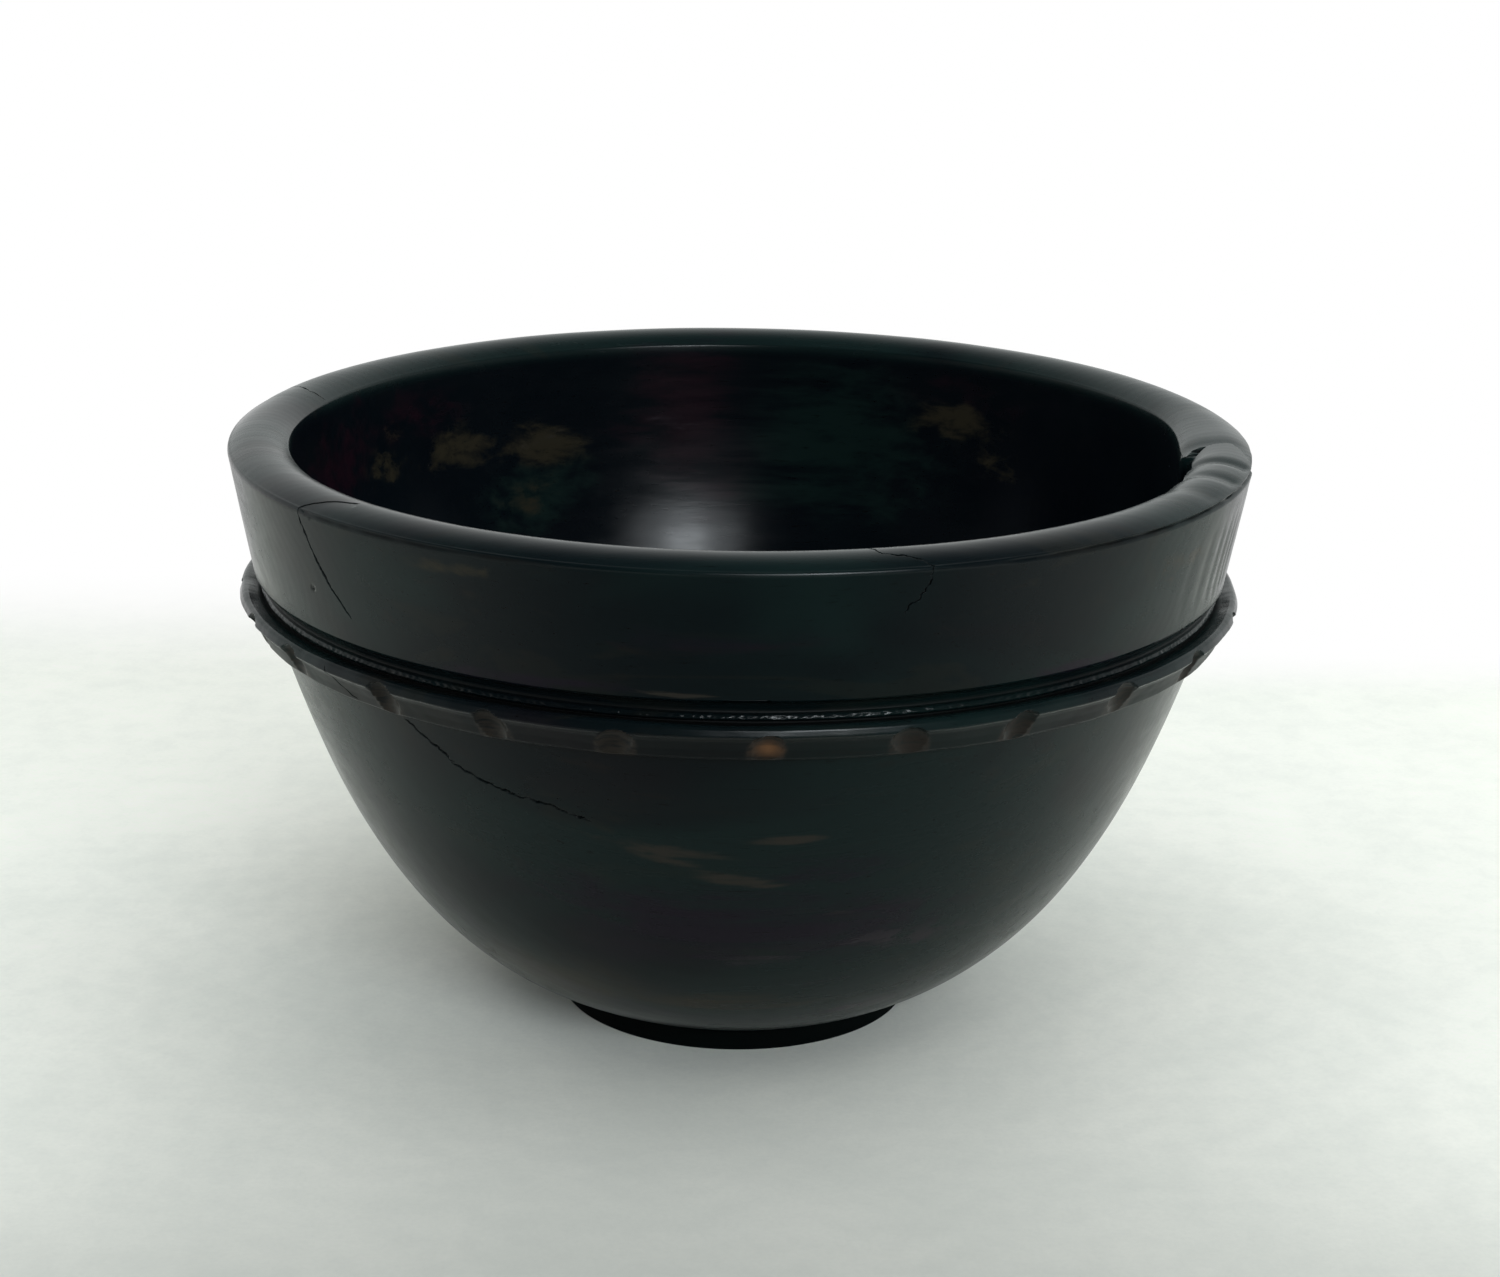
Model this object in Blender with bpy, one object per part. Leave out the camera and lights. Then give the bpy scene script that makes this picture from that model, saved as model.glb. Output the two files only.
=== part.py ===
"""Turned and carved wooden bowl, modelled zone by zone down its turning axis.

The bowl is worked from one blank.  Its carved lines divide it into six zones, and each zone is
its own solid: foot, bowl wall, carved ring, ridge fillet, upper band and rim lip.  Neighbouring
zones meet on flat faces square to the axis.  Units are metres, +Z is up, and the origin is the
middle of the foot's flat underside.
"""

import math

import bmesh
import bpy
from mathutils import Matrix, Vector

# Driving dimensions
RIM_RADIUS = 0.1000
FOOT_RADIUS = 0.0358
LIP_WIDTH = 0.0120
FLOOR_THICKNESS = 0.0130

# Height of each zone, from the foot up
FOOT_HEIGHT = 0.0052
WALL_HEIGHT = 0.0754
RING_HEIGHT = 0.0070
FILLET_HEIGHT = 0.0043
BAND_HEIGHT = 0.0231
LIP_HEIGHT = 0.0029

# Levels where one zone ends and the next begins
WALL_Z = FOOT_HEIGHT
RING_Z = WALL_Z + WALL_HEIGHT
FILLET_Z = RING_Z + RING_HEIGHT
BAND_Z = FILLET_Z + FILLET_HEIGHT
LIP_Z = BAND_Z + BAND_HEIGHT
RIM_Z = LIP_Z + LIP_HEIGHT

# Joint faces stand this far apart
GAP = 0.0003

# Outer radii at the carved lines
WALL_FOOT_RADIUS = 0.0376
WALL_TOP_RADIUS = 0.0918
GROOVE_RADIUS = 0.0936
RIDGE_RADIUS = 0.0944
BAND_FOOT_RADIUS = 0.0957

# Carved ring: how far its outline stands proud of the wall, and how high above the zone's foot.
# Under it is a small flat, then the face leans out to the widest line, a narrow slope leans back
# in above that, and the crest stands a little above the groove behind it.
RING_RADIUS = 0.0986
RING_OUTLINE = (
    (WALL_TOP_RADIUS, RING_Z),
    (WALL_TOP_RADIUS + 0.0002, RING_Z + 0.0005),
    (RING_RADIUS - 0.0040, RING_Z + 0.0006),
    (RING_RADIUS - 0.0032, RING_Z + 0.0010),
    (RING_RADIUS - 0.0020, RING_Z + 0.0024),
    (RING_RADIUS - 0.0009, RING_Z + 0.0038),
    (RING_RADIUS - 0.0002, RING_Z + 0.0049),
    (RING_RADIUS, RING_Z + 0.0057),
    (RING_RADIUS - 0.0001, FILLET_Z - 0.0006),
    (RING_RADIUS - 0.0007, FILLET_Z + 0.0005),
    (RING_RADIUS - 0.0014, FILLET_Z + 0.0007),
    (RING_RADIUS - 0.0022, FILLET_Z + 0.0005),
    (0.0943, FILLET_Z - GAP),
)

# Lip: the crown is one arc, and a small round turns it into the hollow
CROWN_RADIUS = 0.0085
CROWN_CENTRE = (RIM_RADIUS - 0.00585, RIM_Z - CROWN_RADIUS)
CROWN_OUTER_ANGLE = math.radians(52.0)
CROWN_INNER_ANGLE = math.radians(132.0)

# Gouge cuts round the carved ring: twelve set by eye on the front, in degrees from the front
# towards +X, and twelve more that step evenly round the back
CUT_HALF_WIDTH = 0.0042
CUT_DEPTH = 0.0030
CUT_HALF_HEIGHT = 0.0050
CUT_RADIUS = RING_RADIUS + 0.0002
CUT_Z = RING_Z + 0.0026
FRONT_CUTS = (-69, -57, -40, -26, -12.5, 3, 18, 30.5, 45, 59.5, 76, 92)
BACK_CUT_COUNT = 12

SEGMENTS = 72


def bezier(points, t):
    """Point of a cubic Bezier curve at t."""
    s = 1.0 - t
    weights = (s * s * s, 3 * t * s * s, 3 * t * t * s, t * t * t)
    r = sum(w * p[0] for w, p in zip(weights, points))
    z = sum(w * p[1] for w, p in zip(weights, points))
    return (r, z)


def curve_point_at(points, z):
    """Parameter where a Bezier curve that falls steadily passes height z."""
    low, high = 0.0, 1.0
    for _ in range(40):
        middle = 0.5 * (low + high)
        if bezier(points, middle)[1] > z:
            low = middle
        else:
            high = middle
    return 0.5 * (low + high)


def stretch(points, z_top, z_bottom, steps):
    """Points of a falling Bezier curve between two heights, highest first."""
    start = curve_point_at(points, z_top)
    end = curve_point_at(points, z_bottom)
    return [bezier(points, start + (end - start) * i / steps) for i in range(steps + 1)]


def arc(centre, half_width, half_height, start, end, steps):
    """Points of an elliptical arc in the (radius, height) plane."""
    angles = [start + (end - start) * i / steps for i in range(steps + 1)]
    return [
        (centre[0] + half_width * math.cos(a), centre[1] + half_height * math.sin(a))
        for a in angles
    ]


# The outside of the wall and the inside of the hollow, each one curve from top to bottom
WALL_CURVE = (
    (WALL_TOP_RADIUS, RING_Z),
    (0.0817, 0.0485),
    (0.0677, 0.0167),
    (WALL_FOOT_RADIUS, WALL_Z),
)
HOLLOW_CURVE = (
    (RIM_RADIUS - LIP_WIDTH, LIP_Z),
    (0.0858, 0.0760),
    (0.0700, FLOOR_THICKNESS),
    (0.0, FLOOR_THICKNESS),
)


def stained_wood(name, colour, roughness):
    """Dark, waxed wood finish of one zone."""
    material = bpy.data.materials.new(name)
    material.use_nodes = True
    shader = material.node_tree.nodes["Principled BSDF"]
    shader.inputs["Base Color"].default_value = (*colour, 1.0)
    shader.inputs["Roughness"].default_value = roughness
    shader.inputs["Metallic"].default_value = 0.0
    return material


def turned(name, outline, colour, roughness=0.35, closed=True):
    """Solid of revolution of a (radius, height) outline about Z."""
    mesh = bpy.data.meshes.new(name)
    bm = bmesh.new()
    verts = [bm.verts.new((r, 0.0, z)) for r, z in outline]
    edges = [bm.edges.new(pair) for pair in zip(verts, verts[1:])]
    if closed:
        edges.append(bm.edges.new((verts[-1], verts[0])))
    bmesh.ops.spin(
        bm,
        geom=verts + edges,
        axis=(0.0, 0.0, 1.0),
        cent=(0.0, 0.0, 0.0),
        angle=2.0 * math.pi,
        steps=SEGMENTS,
        use_merge=True,
    )
    bmesh.ops.remove_doubles(bm, verts=bm.verts, dist=1e-6)
    bmesh.ops.recalc_face_normals(bm, faces=bm.faces)
    bm.to_mesh(mesh)
    bm.free()
    mesh.shade_smooth()
    mesh.set_sharp_from_angle(angle=math.radians(40.0))
    mesh.materials.append(stained_wood(name + "_wood", colour, roughness))
    obj = bpy.data.objects.new(name, mesh)
    bpy.context.collection.objects.link(obj)
    return obj


def foot():
    """Plain turned foot, slightly smaller at the ground, with its lower edge eased."""
    ease = 0.0005
    top_radius = FOOT_RADIUS + 0.0010
    outline = [
        (0.0, 0.0),
        (FOOT_RADIUS - ease, 0.0),
        (FOOT_RADIUS, ease),
        (top_radius, FOOT_HEIGHT - GAP),
        (0.0, FOOT_HEIGHT - GAP),
    ]
    return turned("foot", outline, (0.010, 0.011, 0.012), 0.45, closed=False)


def bowl_wall():
    """Lower body: a wall that swells up from the foot, with the floor of the hollow."""
    top = RING_Z - GAP
    outside = stretch(WALL_CURVE, top, WALL_Z, 12)
    inside = stretch(HOLLOW_CURVE, top, FLOOR_THICKNESS, 12)
    inside[-1] = (0.0, FLOOR_THICKNESS)
    outline = [(0.0, WALL_Z)] + outside[::-1] + inside
    return turned("bowl_wall", outline, (0.012, 0.015, 0.016), closed=False)


def carved_ring():
    """Ring that stands proud of the wall, before its gouge cuts."""
    inside = stretch(HOLLOW_CURVE, FILLET_Z - GAP, RING_Z, 1)
    return turned("carved_ring", list(RING_OUTLINE) + inside, (0.013, 0.014, 0.015))


def cut_angles():
    """Directions of the gouge cuts about +Z, in radians from +X."""
    last = FRONT_CUTS[-1]
    step = (360.0 + FRONT_CUTS[0] - last) / (BACK_CUT_COUNT + 1)
    back_cuts = [last + step * (i + 1) for i in range(BACK_CUT_COUNT)]
    return [math.radians(angle - 90.0) for angle in list(FRONT_CUTS) + back_cuts]


def gouge_cutters():
    """One egg-shaped cutter for each gouge cut, all in one hidden guide object."""
    mesh = bpy.data.meshes.new("gouge_cutters")
    bm = bmesh.new()
    size = Matrix.Diagonal(Vector((CUT_DEPTH, CUT_HALF_WIDTH, CUT_HALF_HEIGHT, 1.0)))
    offset = Matrix.Translation((CUT_RADIUS, 0.0, CUT_Z))
    for angle in cut_angles():
        turn = Matrix.Rotation(angle, 4, "Z")
        bmesh.ops.create_uvsphere(
            bm, u_segments=10, v_segments=6, radius=1.0, matrix=turn @ offset @ size
        )
    bmesh.ops.recalc_face_normals(bm, faces=bm.faces)
    bm.to_mesh(mesh)
    bm.free()
    cutters = bpy.data.objects.new("gouge_cutters", mesh)
    cutters.hide_render = True
    cutters.display_type = "WIRE"
    bpy.context.collection.objects.link(cutters)
    return cutters


def carve(ring, cutters):
    """Cut the gouge cuts out of the ring."""
    modifier = ring.modifiers.new("gouge cuts", "BOOLEAN")
    modifier.operation = "DIFFERENCE"
    modifier.solver = "EXACT"
    modifier.object = cutters


def ridge_fillet():
    """Narrow groove, thin ridge and cove that part the carved ring from the band."""
    profile = [
        (GROOVE_RADIUS, FILLET_Z),
        (GROOVE_RADIUS + 0.0002, FILLET_Z + 0.0005),
        (RIDGE_RADIUS, FILLET_Z + 0.0009),
        (RIDGE_RADIUS, FILLET_Z + 0.0012),
        (GROOVE_RADIUS + 0.0001, FILLET_Z + 0.0017),
        (GROOVE_RADIUS + 0.0002, FILLET_Z + 0.0025),
        (GROOVE_RADIUS + 0.0009, FILLET_Z + 0.0034),
        (BAND_FOOT_RADIUS, BAND_Z - GAP),
    ]
    inside = stretch(HOLLOW_CURVE, BAND_Z - GAP, FILLET_Z, 1)
    return turned("ridge_fillet", profile + inside, (0.014, 0.014, 0.015))


def upper_band():
    """Plain band that flares straight out from the cove to the lip."""
    outside = [(BAND_FOOT_RADIUS, BAND_Z), (RIM_RADIUS, LIP_Z - GAP)]
    inside = stretch(HOLLOW_CURVE, LIP_Z - GAP, BAND_Z, 4)
    return turned("upper_band", outside + inside, (0.012, 0.015, 0.016))


def rim_lip():
    """Rounded lip, set off from the band by a fine crease, rolling over into the hollow."""
    crease = [
        (RIM_RADIUS, LIP_Z),
        (RIM_RADIUS, LIP_Z + 0.0004),
        (RIM_RADIUS - 0.0006, LIP_Z + 0.0008),
    ]
    crown = arc(
        CROWN_CENTRE, CROWN_RADIUS, CROWN_RADIUS, CROWN_OUTER_ANGLE, CROWN_INNER_ANGLE, 8
    )
    inner_edge = (RIM_RADIUS - LIP_WIDTH, LIP_Z)
    roll = [(inner_edge[0] + 0.0001, LIP_Z + 0.0004), inner_edge]
    return turned("rim_lip", crease + crown + roll, (0.016, 0.018, 0.019), 0.3)


def main():
    for obj in list(bpy.data.objects):
        bpy.data.objects.remove(obj, do_unlink=True)
    axis = bpy.data.objects.new("turning_axis", None)
    bpy.context.collection.objects.link(axis)
    ring = carved_ring()
    carve(ring, gouge_cutters())
    for zone in (foot(), bowl_wall(), ring, ridge_fillet(), upper_band(), rim_lip()):
        zone.parent = axis


main()
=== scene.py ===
"""Looks of the carved wooden bowl: one continuous carved surface, cut into the frame's zones.

Lengths in this script are millimetres until a mesh is made, and angles round the bowl are
degrees from the front (-Y), positive towards +X.  A place on the surface is an angle and a
distance along the turned outline, which runs from under the foot up the outside, over the lip
and down into the hollow.
"""

import math

import bmesh
import bpy
import numpy as np
from mathutils import Euler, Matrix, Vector


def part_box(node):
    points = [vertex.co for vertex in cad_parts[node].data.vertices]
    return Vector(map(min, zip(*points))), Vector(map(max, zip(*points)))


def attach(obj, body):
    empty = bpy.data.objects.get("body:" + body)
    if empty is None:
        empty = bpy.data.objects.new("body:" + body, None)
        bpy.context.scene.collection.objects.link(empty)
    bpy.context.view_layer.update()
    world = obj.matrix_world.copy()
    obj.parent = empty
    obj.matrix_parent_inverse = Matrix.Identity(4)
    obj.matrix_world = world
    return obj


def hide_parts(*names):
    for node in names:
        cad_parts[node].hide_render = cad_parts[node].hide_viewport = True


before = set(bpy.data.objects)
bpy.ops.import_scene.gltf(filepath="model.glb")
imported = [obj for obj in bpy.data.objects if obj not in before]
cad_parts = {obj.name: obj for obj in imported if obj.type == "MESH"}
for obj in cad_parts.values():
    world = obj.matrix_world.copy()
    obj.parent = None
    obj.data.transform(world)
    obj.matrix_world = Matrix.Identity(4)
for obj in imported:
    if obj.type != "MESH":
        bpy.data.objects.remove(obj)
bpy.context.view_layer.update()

MM = 0.001
SEED = 41


# ---- sizes from the frame

def level(node, end):
    """Height in mm of a node's bottom (0) or top (1)."""
    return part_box(node)[end].z / MM


RIM_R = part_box("rim_lip")[1].x / MM
RIM_Z = level("rim_lip", 1)
LIP_Z = level("rim_lip", 0)
BAND_Z = level("upper_band", 0)
FILLET_Z = level("ridge_fillet", 0)
RING_Z = level("carved_ring", 0)
WALL_Z = level("bowl_wall", 0)
RING_R = -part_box("carved_ring")[0].x / MM
FOOT_TOP_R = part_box("foot")[1].x / MM

# Proportions of the part that the boxes of its nodes don't show
FOOT_R = FOOT_TOP_R - 1.0
WALL_FOOT_R = FOOT_TOP_R + 0.8
WALL_TOP_R = 0.918 * RIM_R
GROOVE_R = 0.936 * RIM_R
RIDGE_R = 0.9445 * RIM_R
BAND_FOOT_R = 0.957 * RIM_R
HOLLOW_R = 0.880 * RIM_R
FLOOR_Z = 13.0
CROWN_R = 8.5
CROWN_INSET = 5.85

# Levels of the carved lines: the ring's lower corner and its widest line, the ridge, and the
# foot of the cove above it
RING_CORNER_Z = RING_Z + 0.4
RING_EDGE_Z = RING_Z + 5.8
RIDGE_Z = FILLET_Z + 1.05
COVE_Z = FILLET_Z + 1.85


# ---- the turned outline

def bezier(points, steps):
    """Points of a cubic curve through its first and last control points."""
    t = np.linspace(0.0, 1.0, steps)[:, None]
    a, b, c, d = (np.array(p, float) for p in points)
    s = 1.0 - t
    return s**3 * a + 3 * t * s * s * b + 3 * t * t * s * c + t**3 * d


def arc(centre, half_width, half_height, start, end, steps):
    """Points of an elliptical arc between two angles in degrees, 0 pointing outwards."""
    angle = np.radians(np.linspace(start, end, steps))
    r = centre[0] + half_width * np.cos(angle)
    z = centre[1] + half_height * np.sin(angle)
    return np.stack([r, z], 1)


def wall_outside():
    """The wall's one swelling curve, from the foot up to the ring."""
    points = ((WALL_FOOT_R, WALL_Z), (67.7, 16.7), (81.7, 48.5), (WALL_TOP_R, RING_Z))
    return bezier(points, 400)


def ring_outside():
    """Small flat underneath, leaning face, narrow slope above the widest line, and crest."""
    knots = np.array([
        (WALL_TOP_R, RING_Z),
        (WALL_TOP_R + 0.2, RING_CORNER_Z),
        (RING_R - 3.9, RING_Z + 0.5),
        (RING_R - 3.1, RING_Z + 1.1),
        (RING_R - 2.4, RING_Z + 2.7),
        (RING_R - 1.4, RING_Z + 4.5),
        (RING_R, RING_EDGE_Z),
        (RING_R - 0.45, FILLET_Z + 0.15),
        (RING_R - 0.95, FILLET_Z + 0.6),
        (RING_R - 1.5, FILLET_Z + 0.7),
        (RING_R - 2.2, FILLET_Z + 0.5),
        (GROOVE_R + 0.5, FILLET_Z - 0.1),
        (GROOVE_R, FILLET_Z),
    ])
    return smooth_polyline(knots, sigma=0.14)


def fillet_outside():
    """Groove, thin round ridge, and the cove that runs up to the band."""
    groove = [(GROOVE_R, FILLET_Z), (GROOVE_R - 0.05, FILLET_Z + 0.3)]
    under = arc((RIDGE_R - 0.5, FILLET_Z + 0.85), 0.5, 0.5, -75, 15, 20)
    over = arc((RIDGE_R - 0.66, FILLET_Z + 1.2), 0.5, 0.5, 28, 75, 12)
    cove = bezier((
        (GROOVE_R, COVE_Z),
        (GROOVE_R - 0.1, FILLET_Z + 3.1),
        (GROOVE_R + 0.7, BAND_Z - 0.5),
        (BAND_FOOT_R, BAND_Z),
    ), 40)
    return smooth_polyline(np.concatenate([np.array(groove), under, over, cove]), sigma=0.07)


def lip_outside():
    """Crease, crown and the small roll into the hollow."""
    crease = [(RIM_R, LIP_Z), (RIM_R, LIP_Z + 0.45), (RIM_R - 0.2, LIP_Z + 0.95)]
    centre = (RIM_R - CROWN_INSET, RIM_Z - CROWN_R)
    crown = arc(centre, CROWN_R, CROWN_R, 51.5, 132, 160)
    roll = [(HOLLOW_R + 0.15, LIP_Z + 0.5), (HOLLOW_R, LIP_Z)]
    knots = np.concatenate([np.array(crease), crown, np.array(roll)])
    return smooth_polyline(knots, sigma=0.12)


def hollow():
    """The hollow's one curve, from the lip down to the middle of the floor."""
    points = ((HOLLOW_R, LIP_Z), (85.8, 76.0), (70.0, FLOOR_Z), (0.0, FLOOR_Z))
    return bezier(points, 600)


def arc_length(points):
    """Distance along a polyline to each of its points."""
    steps = np.hypot(*np.diff(points, axis=0).T)
    return np.concatenate([[0.0], np.cumsum(steps)])


def resampled(points, spacing):
    """The polyline again, with evenly spaced points."""
    length = arc_length(points)
    count = max(2, int(round(length[-1] / spacing)) + 1)
    at = np.linspace(0.0, length[-1], count)
    return np.stack([np.interp(at, length, column) for column in points.T], 1)


def smooth_polyline(knots, sigma):
    """A polyline rounded at its corners by a running average about 2 sigma wide."""
    spacing = 0.02
    fine = resampled(knots, spacing)
    reach = int(3 * sigma / spacing)
    weights = np.exp(-0.5 * (np.arange(-reach, reach + 1) * spacing / sigma) ** 2)
    weights /= weights.sum()
    before = 2 * fine[0] - fine[1:reach + 1][::-1]
    after = 2 * fine[-1] - fine[-reach - 1:-1][::-1]
    padded = np.concatenate([before, fine, after])
    smooth = [np.convolve(padded[:, i], weights, "valid") for i in (0, 1)]
    return np.stack(smooth, 1)


def foot_outside():
    """Flat underside, eased lower edge, and the foot's leaning side."""
    ease = arc((FOOT_R - 0.5, 0.5), 0.5, 0.5, -90, 0, 12)
    side = [(FOOT_TOP_R, WALL_Z - 0.02)]
    return np.concatenate([[(0.0, 0.0)], ease, side])


class Outline:
    """The whole turned outline, looked up by distance along it."""

    SPACING = 0.05

    def __init__(self):
        parts = [
            ("foot", foot_outside()),
            ("wall", wall_outside()),
            ("ring", ring_outside()),
            ("fillet", fillet_outside()),
            ("band", np.array([(BAND_FOOT_R, BAND_Z), (RIM_R, LIP_Z)])),
            ("lip", lip_outside()),
            ("hollow", hollow()),
        ]
        fine, starts, count = [], {}, 0.0
        for name, points in parts:
            piece = resampled(points, self.SPACING)
            if fine:
                count += np.hypot(*(piece[0] - fine[-1][-1]))
            starts[name] = count
            count += arc_length(piece)[-1]
            starts[name + "_end"] = count
            fine.append(piece)
        points = np.concatenate(fine)
        keep = np.concatenate([[True], np.hypot(*np.diff(points, axis=0).T) > 1e-6])
        self.points = points[keep]
        self.s = arc_length(self.points)
        self.starts = starts
        tangent = np.gradient(self.points, self.s, axis=0)
        tangent /= np.hypot(*tangent.T)[:, None]
        self.normal = np.stack([tangent[:, 1], -tangent[:, 0]], 1)
        self.length = self.s[-1]

    def at(self, s):
        """Radius, height and outward normal at distance s."""
        columns = (*self.points.T, *self.normal.T)
        return [np.interp(s, self.s, column) for column in columns]

    def outside(self, z):
        """Distance along the outline where the outside passes height z."""
        last = np.searchsorted(self.s, self.starts["lip"])
        first = np.searchsorted(self.s, self.starts["wall"])
        rising = np.maximum.accumulate(self.points[first:last, 1])
        return float(np.interp(z, rising, self.s[first:last]))

    def inside(self, z):
        """Distance along the outline where the hollow's wall passes height z."""
        first = np.searchsorted(self.s, self.starts["hollow"])
        return float(np.interp(-z, -self.points[first:, 1], self.s[first:]))

    def lip(self, r):
        """Distance along the outline where the lip's crown passes radius r."""
        first = np.searchsorted(self.s, self.starts["lip"])
        last = np.searchsorted(self.s, self.starts["hollow"])
        return float(np.interp(-r, -self.points[first:last, 0], self.s[first:last]))


outline = Outline()


# ---- noise

def waves(x, y, z, size, seed, count=16):
    """Smooth repeatable noise of about -1 to 1, with features about size mm across."""
    random = np.random.default_rng(SEED + seed)
    total = np.zeros(np.broadcast(x, y, z).shape)
    for _ in range(count):
        direction = random.normal(size=3)
        direction /= np.linalg.norm(direction)
        pitch = size * random.uniform(1.0, 2.6)
        phase = random.uniform(0.0, 2.0 * math.pi)
        a, b, c = direction * (2.0 * math.pi / pitch)
        total += np.sin(a * x + b * y + c * z + phase)
    return total * math.sqrt(2.0 / count) * 0.7


def ramp(value, low, high):
    """0 below low, 1 above high, smooth between."""
    t = np.clip((value - low) / (high - low), 0.0, 1.0)
    return t * t * (3.0 - 2.0 * t)


# ---- carved detail

# Gouge cuts round the ring: twelve as they are spaced across the front, and twelve that step
# evenly round the back
FRONT_CUTS = (-69, -57, -40, -26, -12.5, 3, 18, 30.5, 45, 59.5, 76, 92)
BACK_CUT_COUNT = 12
CUT_Z = RING_Z + 2.5

# Each cut's size is drawn from these ranges.  The cuts are taller towards the sides.
CUT_HALF_WIDTHS = (3.6, 4.3)
CUT_HALF_HEIGHTS = (3.3, 3.7)
CUT_DEPTHS = (2.9, 3.4)
CUT_LEANS = (-0.2, 0.2)
CUT_HALF_HEIGHT_BELOW = 6.0
SIDE_CUT_EXTRA = 1.2
SIDE_CUT_ANGLE = 40.0

# The floor of every cut lies at least this far in, and slopes further in below its middle
CUT_INSET = 0.15
CUT_SLOPE = 0.25

# Radius given where there is no cut
UNCUT = 1e3


def cut_angles():
    last = FRONT_CUTS[-1]
    step = (360.0 + FRONT_CUTS[0] - last) / (BACK_CUT_COUNT + 1)
    return list(FRONT_CUTS) + [last + step * (i + 1) for i in range(BACK_CUT_COUNT)]


def angle_between(a, b):
    """a - b, brought into -180 to 180 degrees."""
    return (a - b + 180.0) % 360.0 - 180.0


def cut_radius(angle, z):
    """Radius of the gouge cuts' floor, and 0 to 1 for how far inside a cut a place is."""
    random = np.random.default_rng(SEED)
    floor = np.full(angle.shape, UNCUT)
    inside = np.zeros(angle.shape)
    for centre in cut_angles():
        half_width = random.uniform(*CUT_HALF_WIDTHS)
        to_the_side = min(1.0, abs(centre) / SIDE_CUT_ANGLE)
        half_height = random.uniform(*CUT_HALF_HEIGHTS) + SIDE_CUT_EXTRA * to_the_side
        depth = random.uniform(*CUT_DEPTHS)
        lean = random.uniform(*CUT_LEANS)
        rise = z - CUT_Z
        along = np.radians(angle_between(angle, centre)) * RING_R + lean * rise
        height = np.where(rise > 0, rise / half_height, rise / CUT_HALF_HEIGHT_BELOW)
        reach = (along / half_width) ** 2 + height**2
        cut = RING_R - depth * np.sqrt(np.clip(1.0 - reach, 0.0, 1.0)) - CUT_INSET
        cut -= CUT_SLOPE * np.clip(-rise, 0, 3)
        floor = np.minimum(floor, np.where(reach < 1.0, cut, UNCUT))
        inside = np.maximum(inside, ramp(1.0 - reach, 0.0, 0.25))
    return floor, inside


def uneven(random, count, run, weight):
    """Random values, each summed with its neighbours over a short run."""
    spare = 4
    values = random.normal(size=count + 2 * spare)
    return np.convolve(values, np.full(run, weight), "same")[spare:-spare]


class Crack:
    """A drying crack along a path of (angle, distance) places on the surface.

    It is a V of the given half width and depth.  A step lowers the surface on one side of it,
    fading over reach, and jitter is how ragged the path is.
    """

    SPACING = 0.35

    def __init__(self, path, width, depth, seed, step=0.0, reach=4.0, jitter=0.22):
        self.width, self.depth, self.step, self.reach = width, depth, step, reach
        angles, s = np.array(path, float).T
        self.angle0 = float(angles.mean())
        self.radius = float(np.mean(outline.at(s)[0]))
        u = np.radians(angles - self.angle0) * self.radius
        coarse = resampled(np.stack([u, s], 1), self.SPACING)
        random = np.random.default_rng(SEED + seed)
        walk = uneven(random, len(coarse), 3, 1.0 / 3.0)
        tangent = np.gradient(coarse, axis=0)
        tangent /= np.hypot(*tangent.T)[:, None]
        side = np.stack([-tangent[:, 1], tangent[:, 0]], 1)
        self.points = coarse + side * (jitter * walk)[:, None]
        share = np.linspace(0.0, 1.0, len(coarse))
        self.ends = np.clip(share / 0.06, 0, 1) * np.clip((1 - share) / 0.15, 0, 1)
        rough = 1.0 + 0.35 * uneven(random, len(coarse), 4, 0.5)
        self.widths = width * np.clip(rough, 0.35, 2.0) * (0.25 + 0.75 * self.ends)

    def distance(self, angle, s):
        """Distance to the path, which side of it, and the number of its nearest piece."""
        u = np.radians(angle_between(angle, self.angle0)) * self.radius
        best = np.full(u.shape, np.inf)
        side = np.zeros(u.shape)
        piece = np.zeros(u.shape, int)
        for i in range(len(self.points) - 1):
            a, b = self.points[i], self.points[i + 1]
            d = b - a
            t = np.clip(((u - a[0]) * d[0] + (s - a[1]) * d[1]) / (d @ d), 0, 1)
            du, ds = u - (a[0] + t * d[0]), s - (a[1] + t * d[1])
            distance = np.hypot(du, ds)
            closer = distance < best
            best = np.where(closer, distance, best)
            side = np.where(closer, np.sign(d[0] * ds - d[1] * du), side)
            piece = np.where(closer, i, piece)
        return best, side, piece

    def in_reach(self, angle, s, reach):
        """Which places are in the box that the path and its reach take up."""
        u = np.radians(angle_between(angle, self.angle0)) * self.radius
        low, high = self.points.min(0) - reach, self.points.max(0) + reach
        return (u > low[0]) & (u < high[0]) & (s > low[1]) & (s < high[1])

    def displacement(self, angle, s):
        """Movement along the surface's normal in mm: a narrow V, and a low step on one side."""
        moved = np.zeros(angle.shape)
        close = self.in_reach(angle, s, max(self.reach * 2.5, 1.0))
        if not close.any():
            return moved
        distance, side, piece = self.distance(angle[close], s[close])
        width = self.widths[piece]
        v = np.clip(1.0 - distance / width, 0.0, 1.0)
        moved[close] = -self.depth * v**0.8 * (width / self.width)
        if self.step:
            low_side = side * np.sign(self.step) > 0
            fade = np.exp(-((distance / self.reach) ** 2)) * self.ends[piece]
            moved[close] -= abs(self.step) * low_side * fade
        return moved


def places(*points):
    """Path points given as (angle, "out", height) or (angle, "lip", radius)."""
    find = {"out": outline.outside, "lip": outline.lip}
    return [(angle, find[where](value)) for angle, where, value in points]


# The right crack's path over the lip, as (angle, radius) from the hollow outwards
RIGHT_CRACK = ((80.5, 88.6), (82.3, 89.4), (83.8, 90.8), (83.8, 93.2), (84.2, 95.2), (82.7, 97.0),
               (79.6, 99.0))

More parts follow.
